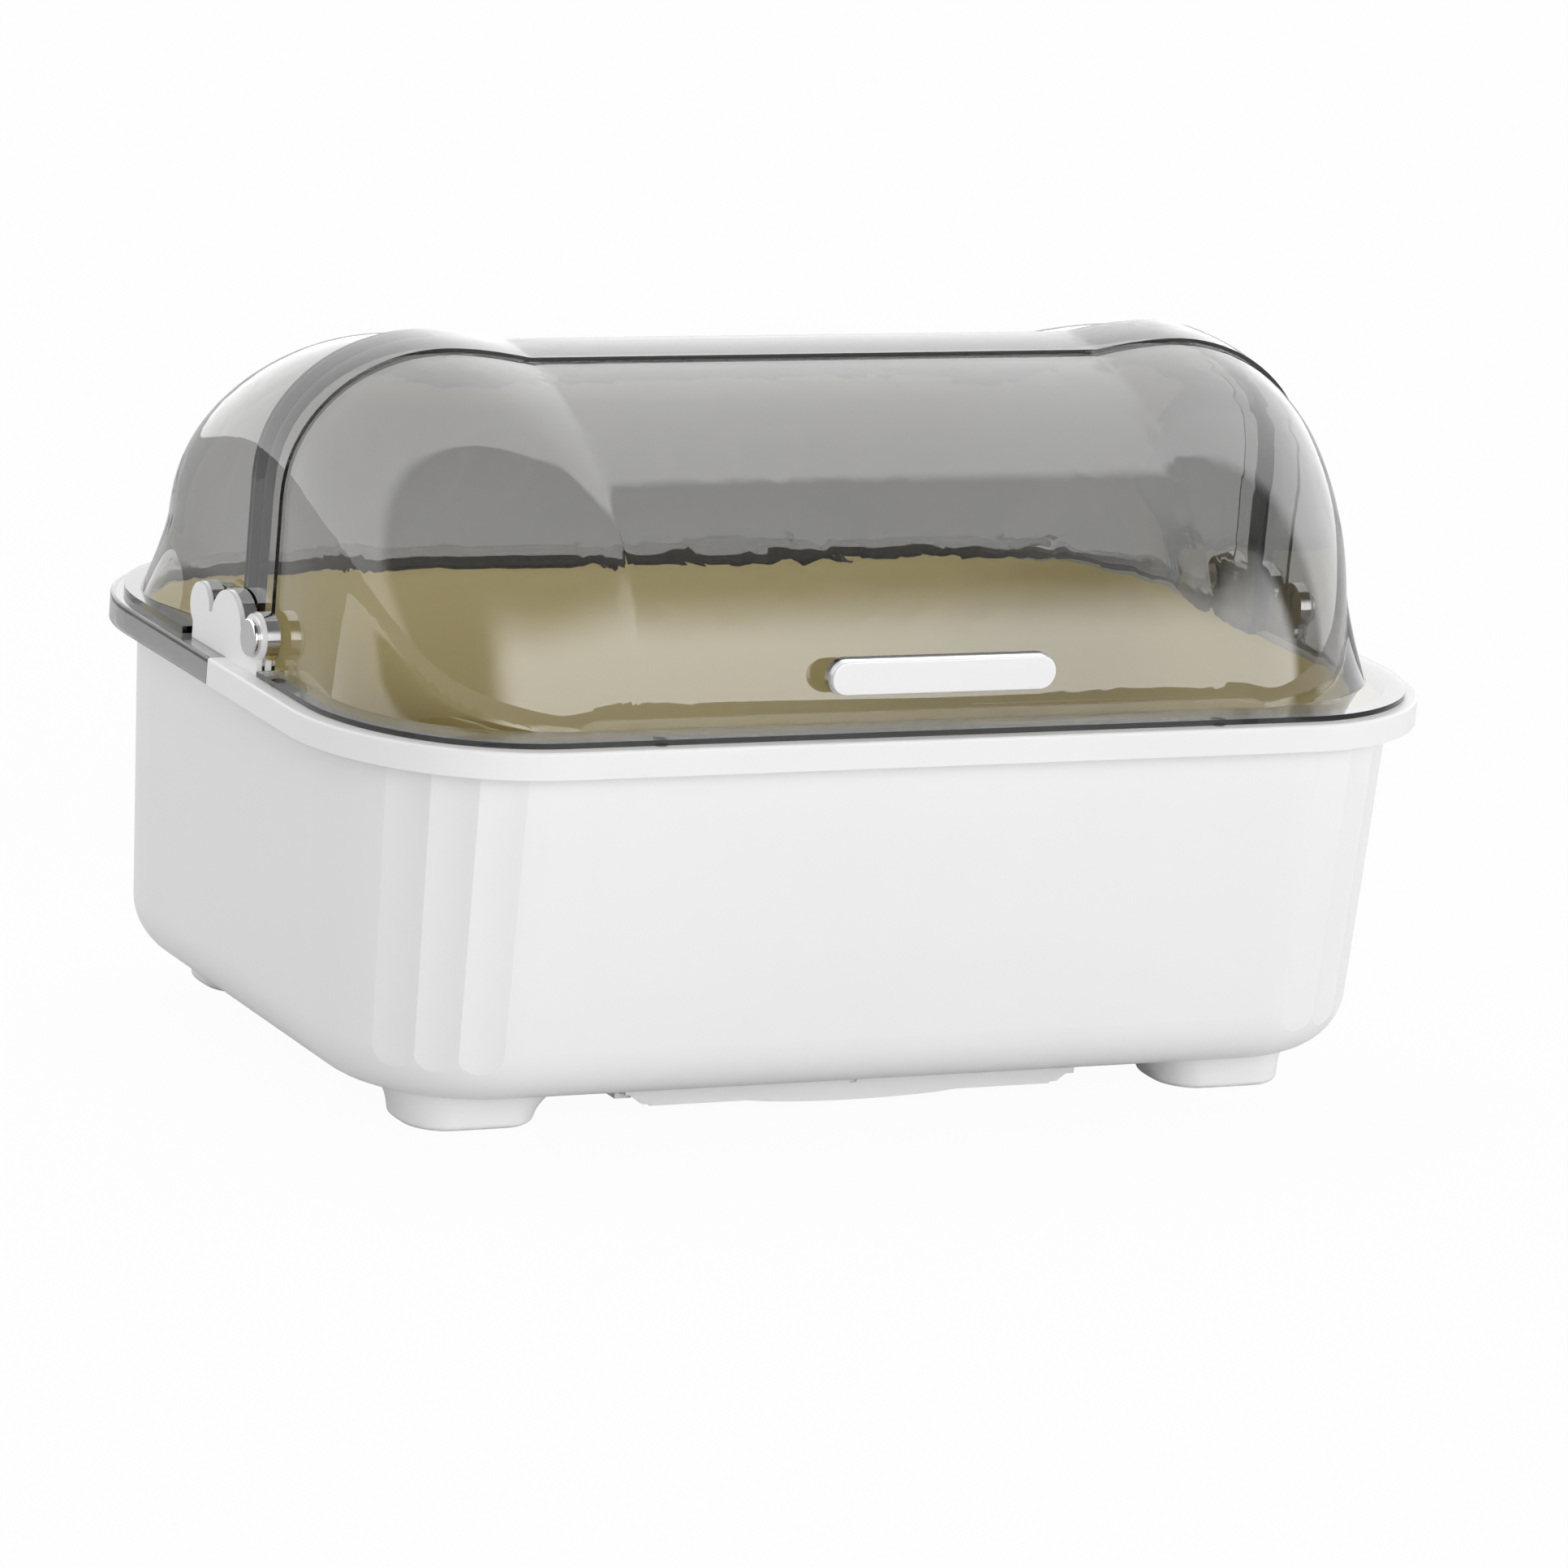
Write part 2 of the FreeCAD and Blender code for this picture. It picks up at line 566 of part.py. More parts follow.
def make_rail(side):
    """A rail under the tub with a lip that carries the drawer's side flange and a stop behind it."""
    front = TRAY_FRONT + RAIL_FRONT_STEP
    back = TRAY_BACK + RAIL_STOP_GAP
    lip_top = TRAY_TOP - TRAY_WALL - RAIL_GAP
    lip_low = lip_top - RAIL_THICK
    lip_x = RAIL_WEB - RAIL_LIP
    outer = RAIL_WEB + RAIL_THICK
    web = box(RAIL_WEB, front, lip_low, outer, back, TUB_BASE)
    lip = box(lip_x, front, lip_low, outer, back, lip_top)
    foot = box(RAIL_WEB, front, TUB_BASE - RAIL_THICK, RAIL_WEB + RAIL_FOOT, back, TUB_BASE)
    stop = box(lip_x, back, lip_low, outer, back + RAIL_THICK, TUB_BASE)
    rail = web.fuse([lip, foot, stop]).removeSplitter()
    holes = [rod(V(x, y, 0), UP, TUB_BASE, RAIL_SCREW_RADIUS) for x, y in RAIL_SCREW_PLACES if x > 0]
    return mirrored(rail.cut(holes), side)


def make_rail_screw(x, y):
    seat = TUB_BASE - RAIL_THICK
    length = RAIL_THICK + TUB_WALL - SCREW_END_WALL
    head = rod(V(x, y, seat - RAIL_SCREW_HEAD_THICK), UP, RAIL_SCREW_HEAD_THICK, RAIL_SCREW_HEAD_RADIUS)
    return head.fuse(rod(V(x, y, seat), UP, length, RAIL_SCREW_RADIUS))


# Drain basket and racks


def make_basket():
    inset = TUB_WALL + BASKET_GAP
    outer = tapered(BASKET_FLOOR, RIM_TOP - BASKET_TOP_DROP, inset, BASKET_BOTTOM_ROUND)
    inner = tapered(RACK_FLOOR, RIM_TOP, inset + BASKET_WALL, BASKET_BOTTOM_ROUND - BASKET_WALL)
    columns = 2 * int((BASKET_FLOOR_X - BASKET_SIDE_MARGIN) / BASKET_SLOT_PITCH) + 1
    gaps = 2 * BASKET_END_MARGIN + (BASKET_SLOT_ROWS - 1) * BASKET_ROW_GAP
    length = (2 * BASKET_FLOOR_Y - gaps) / BASKET_SLOT_ROWS
    slot_x = spread(columns, BASKET_SLOT_PITCH)
    slot_y = spread(BASKET_SLOT_ROWS, length + BASKET_ROW_GAP)
    leg_x = slot_x[-1] + BASKET_SLOT_PITCH / 2 + BASKET_LEG_RADIUS
    legs = [rod(V(x, y, FLOOR_TOP), UP, BASKET_FLOOR_RISE + 1, BASKET_LEG_RADIUS)
            for x in (-leg_x, leg_x) for y in (slot_y[0], slot_y[-1])]
    holes = [slot(x, y, BASKET_SLOT_WIDTH, length, FLOOR_TOP, RACK_FLOOR + 1) for x in slot_x for y in slot_y]
    return outer.fuse(legs).cut(inner).cut(Part.makeCompound(holes)).removeSplitter()


def divider_places(start, end, count):
    """The middle of each divider along a rack."""
    step = (end - start - 2 * DIVIDER_FIRST_STEP) / (count - 1)
    return [start + DIVIDER_FIRST_STEP + step * index for index in range(count)]


def make_rack(x0, y0, x1, y1, places):
    """A flat grille with a pair of drain slots between each two dividers."""
    base = rounded_block(x0, y0, x1, y1, RACK_CORNER, RACK_FLOOR, RACK_TOP)
    length = (y1 - y0) * RACK_SLOT_SHARE
    cutters = []
    for left, right in zip(places[:-1], places[1:]):
        for y in ((3 * y0 + y1) / 4, (y0 + 3 * y1) / 4):
            cutters.append(slot((left + right) / 2, y, RACK_SLOT_WIDTH, length, RACK_FLOOR - 1, RACK_TOP + 1))
    return base.cut(Part.makeCompound(cutters))


def make_divider(x, y0, y1, height):
    """An upright fin with an arched top."""
    left, right = y0 + DIVIDER_END_STEP, y1 - DIVIDER_END_STEP
    top = RACK_TOP + height
    shoulder = top - height * DIVIDER_ARCH_SHARE
    near = x - DIVIDER_THICK / 2
    places = ((right, shoulder), (right, RACK_TOP), (left, RACK_TOP), (left, shoulder))
    corners = [V(near, y, z) for y, z in places]
    arch = Part.Arc(corners[3], V(near, (left + right) / 2, top), corners[0]).toShape()
    sides = Part.makePolygon(corners).Edges
    return Part.Face(Part.Wire([arch] + sides)).extrude(RIGHT * DIVIDER_THICK)


def make_caddy():
    """The cutlery holder: an open box with a slotted floor."""
    low, top = RACK_FLOOR, RACK_FLOOR + CADDY_HEIGHT
    x0, y0, x1, y1 = CADDY_X, -RACK_Y, RACK_X, -RACK_MIDDLE
    wall = CADDY_WALL
    outer = rounded_block(x0, y0, x1, y1, CADDY_CORNER, low, top)
    inner_corner = CADDY_CORNER - wall
    cutters = [rounded_block(x0 + wall, y0 + wall, x1 - wall, y1 - wall, inner_corner, low + wall, top + 1)]
    depth = y1 - y0
    length = depth * RACK_SLOT_SHARE
    for x in spread(CADDY_SLOT_COLUMNS, CADDY_SLOT_PITCH):
        for y in spread(2, depth / 2):
            place = ((x0 + x1) / 2 + x, (y0 + y1) / 2 + y)
            cutters.append(slot(*place, RACK_SLOT_WIDTH, length, low - 1, low + wall + 1))
    return outer.cut(cutters)


def make_caddy_divider():
    """The plate that parts the cutlery holder in two."""
    y = -(RACK_Y + RACK_MIDDLE) / 2
    half = CADDY_WALL / 2
    top = RACK_FLOOR + CADDY_HEIGHT - CADDY_DIVIDER_DROP
    return box(CADDY_X + CADDY_WALL, y - half, RACK_FLOOR + CADDY_WALL, RACK_X - CADDY_WALL, y + half, top)


# Cover


def eased(share):
    """A share from 0 to 1 that starts and ends without a bend."""
    share = min(max(share, 0.0), 1.0)
    return share * share * (3 - 2 * share)


def softened(value, limit):
    """A value that stays below a limit, without a sharp change."""
    return (value ** -4 + limit ** -4) ** -0.25


def plan_half_width(y, step, corner):
    """Half the width of the cover's rounded outline at a depth, drawn in by a step."""
    past = abs(y) - (COVER_Y - corner)
    if past <= 0:
        return COVER_X - step
    return COVER_X - corner + math.sqrt(max((corner - step) ** 2 - past ** 2, 0.0))


def dome_points(form, y, step, base):
    """Control points of the cover's outline across the width at one depth, drawn in by a step: sides
    with a large upper round, and shoulders that stand above the middle panel and end in a crease."""
    corner, lean, growth, spread_out, flare = form
    arch = math.sqrt(1 - (y / (COVER_Y - step)) ** 2)
    low = RIM_TOP + (COVER_RISE - step) * arch
    height = (COVER_RISE + SHOULDER_RISE - step) * arch
    high = RIM_TOP + height
    foot = plan_half_width(y, step, corner)
    top = foot - lean * eased((abs(y) - LEAN_START) / LEAN_REACH)
    crease = COVER_X - SHOULDER_WIDTH
    tall = softened((COVER_EDGE_HEIGHT - step) * (1 + growth * (1 - arch)), 0.9 * height)
    wide = softened(COVER_EDGE_WIDTH - step + spread_out * (1 - arch), top - crease - 6)
    flare = flare * eased((abs(y) - FLARE_START) / FLARE_REACH)
    half = []
    for share in (0.0, 0.08, 0.2, 0.35, 0.5, 0.66, 0.82, 0.93):
        z = base + (high - tall - base) * share
        above = min(max((z - RIM_TOP) / FLARE_HEIGHT, 0.0), 1.0)
        half.append((foot + (top - foot) * share + flare * (1 - above) ** 1.4, z))
    for index in range(13):
        angle = math.radians(7.5 * index)
        half.append((top - wide + wide * math.cos(angle), high - tall + tall * math.sin(angle)))
    for share in (0.2, 0.4, 0.6, 0.78, 0.9, 0.965, 1.0):
        x = top - wide + (crease - top + wide) * share
        half.append((x, high - (high - low) * share ** SHOULDER_BEND))
    half.extend((crease * share, low) for share in (0.993, 0.98, 0.955, 0.9, 0.8, 0.625, 0.375, 0.125))
    left = [V(-x, y, z) for x, z in half]
    return left + [V(x, y, z) for x, z in reversed(half)]


def dome(form, step, base, y_from, y_to):
    """The solid under the cover's surface between two depths, arched from front to back."""
    half_y = COVER_Y - step
    last = math.radians(COVER_LAST_DEG)
    start = -last if y_from < -half_y else math.asin(y_from / half_y)
    end = last if y_to > half_y else math.asin(y_to / half_y)
    count = max(3, math.ceil((end - start) / math.radians(7)))
    angles = [start + (end - start) * index / count for index in range(count + 1)]
    cover = skin([dome_points(form, half_y * math.sin(angle), step, base) for angle in angles], angles)
    faces = [cover]
    base_edges = [edge for edge in cover.Edges if edge.BoundBox.YLength > 1e-3]
    for edge in cover.Edges:
        if edge.BoundBox.YLength <= 1e-3:
            line = Part.LineSegment(edge.Vertexes[0].Point, edge.Vertexes[-1].Point).toShape()
            base_edges.append(line)
            faces.append(Part.Face(Part.Wire([edge, line])))
    faces.append(Part.Face(Part.Wire(Part.__sortEdges__(base_edges))))
    return closed_solid(faces)


def flange(z0):
    """A plate round the foot of the cover, filled, before it is cut to a half."""
    half_x, half_y = RIM_X - FLANGE_SIDE_INSET, RIM_Y - FLANGE_END_INSET
    return slab(half_x, half_y, RIM_CORNER - FLANGE_CORNER_STEP, z0, FLANGE_TOP)


def pin_hole(side, inner_x):
    """A running hole for the hinge pin, outwards through a wall."""
    return rod(V(side * inner_x, LOBE_OFFSET, HINGE_Z), RIGHT * side, 20, PIN_RADIUS + PIN_PLAY)


def make_front_cover():
    shell = dome(FRONT_FORM, 0.0, FRONT_BASE, -FAR, 0.0)
    collar = dome(FRONT_FORM, -COLLAR_RAISE, FRONT_BASE, -COLLAR_WIDTH, COLLAR_OVERLAP)
    rim = flange(FRONT_BASE).common(box(-FAR, -FAR, 0, FAR, -FRONT_FLANGE_START, FAR))
    hollow = dome(FRONT_FORM, COVER_WALL, FRONT_BASE - 5, -FAR, COLLAR_OVERLAP + 2)
    cover = shell.fuse([collar, rim]).cut(hollow)
    inner_x = COVER_X - COVER_WALL
    outer_x = COVER_X + COLLAR_RAISE
    ears = []
    for side in (-1, 1):
        arm = box(inner_x, -EAR_ROOT, HINGE_Z - EAR_RADIUS, outer_x, LOBE_OFFSET, HINGE_Z + EAR_RADIUS)
        eye = rod(V(inner_x, LOBE_OFFSET, HINGE_Z), RIGHT, outer_x - inner_x, EAR_RADIUS)
        ears.extend([mirrored(arm, side), mirrored(eye, side)])
    holes = [pin_hole(side, inner_x - 5) for side in (-1, 1)]
    holes.extend(rod(V(x, -RIM_Y, HANDLE_Z), BACK, RIM_Y - COVER_Y * 0.8, SCREW_RADIUS) for x in POST_PLACES)
    return cover.fuse(ears).cut(holes)


def make_rear_cover():
    shell = dome(REAR_FORM, REAR_STEP, REAR_BASE, -TONGUE_LENGTH, FAR)
    ledge = rim_slab(0.0, LIP_BASE, RIM_TOP)
    ledge = ledge.makeFillet(LIP_EDGE_ROUND, edges_at(ledge, RIM_TOP))
    ledge = ledge.cut(rim_slab(SKIRT_THICK, LIP_BASE - 1, REAR_BASE))
    ledge = ledge.common(box(-FAR, SEAM_Y + SEAM_GAP, 0, FAR, FAR, FAR))
    rim = flange(REAR_BASE).common(box(-FAR, REAR_FLANGE_START, 0, FAR, FAR, FAR))
    inner = REAR_STEP + COVER_WALL
    thin = dome(REAR_FORM, inner, REAR_BASE - 5, TONGUE_BAND - TONGUE_LENGTH, FAR)
    thick = dome(REAR_FORM, inner + TONGUE_THICKEN, REAR_BASE - 5, -TONGUE_LENGTH - 2, TONGUE_BAND)
    cover = shell.fuse([ledge, rim]).cut([thin, thick])
    return largest(cover.cut([pin_hole(side, REAR_X - 12) for side in (-1, 1)]))


def make_bumpers():
    """Four clear dots under the front flange that it rests on."""
    margin = BUMPER_RADIUS + BUMPER_MARGIN
    side_x = RIM_X - FLANGE_SIDE_INSET - margin
    front_y = FLANGE_END_INSET + margin - RIM_Y
    beside = [(side * side_x, -FRONT_FLANGE_START - BUMPER_SIDE_STEP) for side in (-1, 1)]
    before = [(side * BUMPER_FRONT_X, front_y) for side in (-1, 1)]
    return [rod(V(x, y, RIM_TOP), UP, BUMPER_HEIGHT, BUMPER_RADIUS) for x, y in beside + before]


# Hinges


def bracket_side(x, margin):
    """The three-lobed side of a hinge at one x, drawn in by a margin."""
    lobes = [(-LOBE_OFFSET, LOBE_HEIGHT, LOBE_RADIUS), (LOBE_OFFSET, LOBE_HEIGHT, LOBE_RADIUS),
             (0.0, HUMP_HEIGHT, HUMP_RADIUS)]
    rounds = [rod(V(x, y, RIM_TOP + z), RIGHT, 1.0, radius - margin) for y, z, radius in lobes]
    half = HINGE_FOOT - margin
    plate = box(x, -half, RIM_TOP, x + 1, half, HINGE_Z).fuse(rounds)
    plate = plate.common(box(x - 1, -FAR, RIM_TOP, x + 2, FAR, FAR)).removeSplitter()
    sides = [face for face in plate.Faces if abs(face.CenterOfMass.x - x) < 1e-6]
    return max(sides, key=lambda face: face.Area)


def make_hinge_block(side):
    block = bracket_side(HINGE_INNER_X, 0.0).extrude(RIGHT * HINGE_BLOCK_THICK)
    lug = hinge_lug(1).BoundBox
    gap = LUG_GAP
    pocket = box(lug.XMin - gap, lug.YMin - gap, RIM_TOP, lug.XMax + gap, lug.YMax + gap, lug.ZMax + gap)
    screw = rod(V(HINGE_INNER_X + SCREW_END_WALL, -LOBE_OFFSET, HINGE_Z), RIGHT, 10, SCREW_RADIUS)
    pin = rod(V(HINGE_INNER_X, LOBE_OFFSET, HINGE_Z), RIGHT, HINGE_BLOCK_THICK, PIN_RADIUS)
    return mirrored(block.cut([pocket, screw, pin]), side)


def make_hinge_face(side):
    face = bracket_side(HINGE_OUTER_X, HINGE_FACE_MARGIN).extrude(RIGHT * HINGE_FACE_THICK)
    head = rod(V(HINGE_OUTER_X, -LOBE_OFFSET, HINGE_Z), RIGHT, HINGE_FACE_THICK, SCREW_HEAD_RADIUS)
    return mirrored(face.cut(head), side)


def make_hinge_button(side):
    start = HINGE_OUTER_X + HINGE_FACE_THICK
    button = rod(V(start, -LOBE_OFFSET, HINGE_Z), RIGHT, BUTTON_THICK, BUTTON_RADIUS)
    outer = [edge for edge in button.Edges if edge.BoundBox.XMin > start + BUTTON_THICK - 0.01]
    return mirrored(button.makeFillet(BUTTON_ROUND, outer), side)


def make_hinge_screw(side):
    inner = HINGE_INNER_X + SCREW_END_WALL
    shank = rod(V(inner, -LOBE_OFFSET, HINGE_Z), RIGHT, HINGE_OUTER_X - inner, SCREW_RADIUS)
    head = rod(V(HINGE_OUTER_X, -LOBE_OFFSET, HINGE_Z), RIGHT, HINGE_FACE_THICK, SCREW_HEAD_RADIUS)
    return mirrored(shank.fuse(head), side)


def make_cover_pin(side):
    inner = REAR_X - COVER_WALL - RING_GAP - RING_THICK - PIN_PROUD
    return mirrored(rod(V(inner, LOBE_OFFSET, HINGE_Z), RIGHT, HINGE_OUTER_X - inner, PIN_RADIUS), side)


def make_pin_ring(side):
    centre = V(REAR_X - COVER_WALL - RING_GAP - RING_THICK, LOBE_OFFSET, HINGE_Z)
    ring = rod(centre, RIGHT, RING_THICK, RING_RADIUS).cut(rod(centre, RIGHT, RING_THICK, PIN_RADIUS))
    return mirrored(ring, side)


# Handle


def stadium(length, height, y, thick):
    """A plate with half-round ends that faces the front."""
    radius = height / 2
    reach = length / 2 - radius
    middle = box(-reach, y, HANDLE_Z - radius, reach, y + thick, HANDLE_Z + radius)
    ends = [rod(V(x, y, HANDLE_Z), BACK, thick, radius) for x in (-reach, reach)]
    return middle.fuse(ends).removeSplitter()


def make_handle_bar():
    bar = stadium(HANDLE_LENGTH, HANDLE_HEIGHT, HANDLE_FACE, HANDLE_BAR_THICK)
    front = [edge for edge in bar.Edges if edge.BoundBox.YMax < HANDLE_FACE + 0.01]
    return bar.makeFillet(HANDLE_BAR_ROUND, front)


def make_handle_rim():
    grow = 2 * HANDLE_RIM_MARGIN
    rim = stadium(HANDLE_LENGTH + grow, HANDLE_HEIGHT + grow, HANDLE_RIM_FACE, HANDLE_RIM_THICK)
    depth = HANDLE_RIM_THICK
    return rim.cut([rod(V(x, HANDLE_SCREW_TIP, HANDLE_Z), BACK, depth, SCREW_RADIUS) for x in POST_PLACES])


def make_handle_mount():
    """A backing plate, two posts and a centre pad between the handle and the cover, shaped to the cover."""
    reach = -HANDLE_BACK - COVER_Y * 0.9
    plate = stadium(LINK_LENGTH, LINK_HEIGHT, HANDLE_BACK, LINK_THICK)
    posts = [rod(V(x, HANDLE_BACK, HANDLE_Z), BACK, reach, POST_RADIUS) for x in POST_PLACES]
    half_x, half_z = CENTRE_PAD_WIDTH / 2, CENTRE_PAD_HEIGHT / 2
    pad = box(-half_x, HANDLE_BACK, HANDLE_Z - half_z, half_x, HANDLE_BACK + reach, HANDLE_Z + half_z)
    mount = largest(plate.fuse(posts + [pad]).cut(dome(FRONT_FORM, 0.0, FRONT_BASE, -FAR, 0.0)))
    start = HANDLE_BACK - 1
    return mount.cut([rod(V(x, start, HANDLE_Z), BACK, reach + 2, SCREW_RADIUS) for x in POST_PLACES])


def make_handle_screw(x):
    """A screw from inside the cover into the handle, whose head seats on the curved wall's nearest point."""
    inner_y, inner_rise = COVER_Y - COVER_WALL, COVER_RISE - COVER_WALL
    seat = -inner_y * math.sqrt(1 - ((HANDLE_LEVEL + SCREW_HEAD_RADIUS) / inner_rise) ** 2)
    head = rod(V(x, seat, HANDLE_Z), BACK, SCREW_HEAD_THICK, SCREW_HEAD_RADIUS)
    return head.fuse(rod(V(x, HANDLE_SCREW_TIP, HANDLE_Z), BACK, seat - HANDLE_SCREW_TIP, SCREW_RADIUS))


def main():
    os.makedirs("parts", exist_ok=True)
    save("tub", [make_tub()])
    for (x, y), word in zip(FOOT_PLACES, ("front_left", "front_right", "rear_left", "rear_right")):
        save("foot_" + word, [make_foot(x, y)])
    save("foot_pads", [make_pad(x, y) for x, y in FOOT_PLACES])
    save("foot_screws", [make_foot_screw(x, y) for x, y in FOOT_PLACES])
    save("drip_tray", [make_tray()])
    for side, word in ((-1, "left"), (1, "right")):
        save("tray_rail_" + word, [make_rail(side)])
        save("hinge_block_" + word, [make_hinge_block(side)])
        save("hinge_face_" + word, [make_hinge_face(side)])
        save("hinge_button_" + word, [make_hinge_button(side)])
        save("cover_pin_" + word, [make_cover_pin(side)])
    save("rail_screws", [make_rail_screw(x, y) for x, y in RAIL_SCREW_PLACES])
    save("hinge_screws", [make_hinge_screw(side) for side in (-1, 1)])
    save("pin_rings", [make_pin_ring(side) for side in (-1, 1)])
    save("drain_basket", [make_basket()])
    plates = divider_places(-RACK_X, RACK_X, PLATE_DIVIDERS)
    save("plate_rack", [make_rack(-RACK_X, RACK_MIDDLE, RACK_X, RACK_Y, plates)])
    save("plate_dividers", [make_divider(x, RACK_MIDDLE, RACK_Y, PLATE_DIVIDER_HEIGHT) for x in plates])
    bowls = divider_places(-RACK_X, BOWL_RACK_X, BOWL_DIVIDERS)
    save("bowl_rack", [make_rack(-RACK_X, -RACK_Y, BOWL_RACK_X, -RACK_MIDDLE, bowls)])
    save("bowl_dividers", [make_divider(x, -RACK_Y, -RACK_MIDDLE, BOWL_DIVIDER_HEIGHT) for x in bowls])
    save("cutlery_holder", [make_caddy()])
    save("cutlery_divider", [make_caddy_divider()])
    save("front_cover", [make_front_cover()])
    save("rear_cover", [make_rear_cover()])
    save("handle_bar", [make_handle_bar()])
    save("handle_rim", [make_handle_rim()])
    save("handle_mount", [make_handle_mount()])
    save("handle_screws", [make_handle_screw(x) for x in POST_PLACES])
    save("cover_bumpers", make_bumpers())


main()
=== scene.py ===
"""A covered dish drying rack: a fluted white tub on four feet, a drip drawer, a beige drain basket and a
smoked clear cover whose front half swings up on two chromed side hinges. Metres, +Z up, front towards -Y."""

import math

import bpy
import numpy as np
from bpy.props import FloatProperty, FloatVectorProperty, PointerProperty
from bpy.types import Operator, Panel, PropertyGroup
from mathutils import Matrix, Vector


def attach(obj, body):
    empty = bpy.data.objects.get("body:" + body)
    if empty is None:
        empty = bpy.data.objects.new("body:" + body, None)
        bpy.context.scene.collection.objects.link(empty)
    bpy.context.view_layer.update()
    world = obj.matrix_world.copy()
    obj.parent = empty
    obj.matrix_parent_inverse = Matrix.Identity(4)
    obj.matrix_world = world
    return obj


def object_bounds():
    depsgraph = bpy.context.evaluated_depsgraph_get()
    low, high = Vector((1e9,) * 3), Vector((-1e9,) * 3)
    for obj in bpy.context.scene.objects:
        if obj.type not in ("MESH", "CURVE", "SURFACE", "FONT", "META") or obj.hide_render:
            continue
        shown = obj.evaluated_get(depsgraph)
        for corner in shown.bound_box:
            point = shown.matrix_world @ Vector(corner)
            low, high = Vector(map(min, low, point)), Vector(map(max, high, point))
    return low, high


bl_info = {
    "name": "Covered Dish Drying Rack",
    "version": (1, 0, 0),
    "blender": (4, 5, 0),
    "location": "3D View > Sidebar > Dish Rack",
    "description": "Gives the packed dish rack its finishes, its fine pieces and its studio",
    "category": "Object",
}

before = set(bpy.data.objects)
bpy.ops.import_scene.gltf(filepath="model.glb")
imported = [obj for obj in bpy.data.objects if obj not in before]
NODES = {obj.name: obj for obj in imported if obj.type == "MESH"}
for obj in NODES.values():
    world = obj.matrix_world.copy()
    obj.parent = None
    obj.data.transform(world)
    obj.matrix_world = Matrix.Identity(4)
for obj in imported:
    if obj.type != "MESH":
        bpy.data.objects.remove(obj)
CAD_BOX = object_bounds()

# Places of the studio's panels, in degrees, each from dark to bright
KEY_LEFT = (-45, -20)
KEY_RIGHT = (66, 56)
KEY_TOP = (42, 18)
BACKDROP_START = (82, 92)

# How much of the room's even light shiny pieces don't see
GLOSSY_CUT = 0.7

# The floor's disc
FLOOR_RADIUS = 12.0
FLOOR_SIDES = 96

# The range of a noise pattern that most of it lies in
NOISE_LOW = 0.3
NOISE_HIGH = 0.7

# The cover's outline near its seam, in metres
RIM_TOP = 0.147
COVER_HALF_WIDTH = 0.2045
COVER_HALF_DEPTH = 0.1295
COVER_RISE = 0.1106
SHOULDER_RISE = 0.004
SHOULDER_BEND = 1.7
EDGE_WIDTH = 0.062
EDGE_HEIGHT = 0.050
EDGE_LIMIT = 0.9
SHOULDER_LEAST = 0.006
CREASE = 0.1135
FOOT_GAP = 0.0032

# How many places the painted seam shade strip's outline has on its side, its round, its shoulder and half
# its middle
SIDE_STEPS = 12
ROUND_STEPS = 40
SHOULDER_STEPS = 16
MIDDLE_STEPS = 8
SHADE_STRIP_ROWS = 7

SIDES = ("left", "right")
FEET = ("foot_front_left", "foot_front_right", "foot_rear_left", "foot_rear_right")


# Settings


def length(name, default, description, low=0.0, high=10.0):
    return FloatProperty(name=name, default=default, description=description, unit="LENGTH",
                         min=low, max=high)


def share(name, default, description, low=0.0, high=1.0):
    return FloatProperty(name=name, default=default, description=description, min=low, max=high)


def colour(name, default, description):
    return FloatVectorProperty(name=name, default=default, description=description, subtype="COLOR",
                               size=3, min=0.0, max=1.0)


class DishRackFinishes(PropertyGroup):
    shell: colour("Shell", (0.85, 0.85, 0.85), "Colour of the white moulded tub and feet")
    shell_roughness: share("Shell roughness", 0.42, "How matt the tub is")
    grain: length("Grain", 0.0011, "Width of the fine moulded texture")
    beige: colour("Basket", (0.95, 0.84, 0.46), "Colour of the drain basket and racks")
    beige_roughness: share("Basket roughness", 0.38, "How matt the basket is")
    smoke_face: colour("Cover faces", (0.665, 0.665, 0.665), "What each wall of the cover lets through")
    smoke: colour("Smoke", (0.30, 0.30, 0.29), "What the cover's plastic keeps of light, beside its density")
    smoke_density: FloatProperty(name="Smoke density", default=175.0, min=0.0, max=5000.0,
                                 description="How dark the cover's plastic is for its thickness")
    smoke_ior: FloatProperty(name="Cover IOR", default=1.56, min=1.0, max=2.0,
                             description="How strongly the cover's plastic bends and mirrors light")
    chrome: colour("Chrome", (0.62, 0.62, 0.63), "Colour of the chromed hinge and handle parts")
    trim: colour("Trim", (0.88, 0.87, 0.87), "Colour of the glossy white hinge faces and handle")
    steel: colour("Screws", (0.55, 0.55, 0.56), "Colour of the screws and pins")
    pad: colour("Pads", (0.62, 0.62, 0.61), "Colour of the soft pads under the feet")


# Sizes of a near-black strip in the cover's seam overlap. The strip is painted shade: it darkens the band
# where the cover's two smoked walls overlap.
class DishRackSeamShade(PropertyGroup):
    front: length("Front edge", -0.0058, "Depth of the seal's front edge", -0.02)
    back: length("Back edge", 0.0028, "Depth of the seal's back edge", -0.02)
    inset: length("Inset", 0.00225, "How far the seal lies inside the cover's outer face")
    thickness: length("Thickness", 0.00032, "Thickness of the seal strip")
    # Near-black colour of the strip: painted shade for the dark seam line
    tint: colour("Seam shade", (0.012, 0.012, 0.012), "Colour of the painted seam shade between the cover's halves")


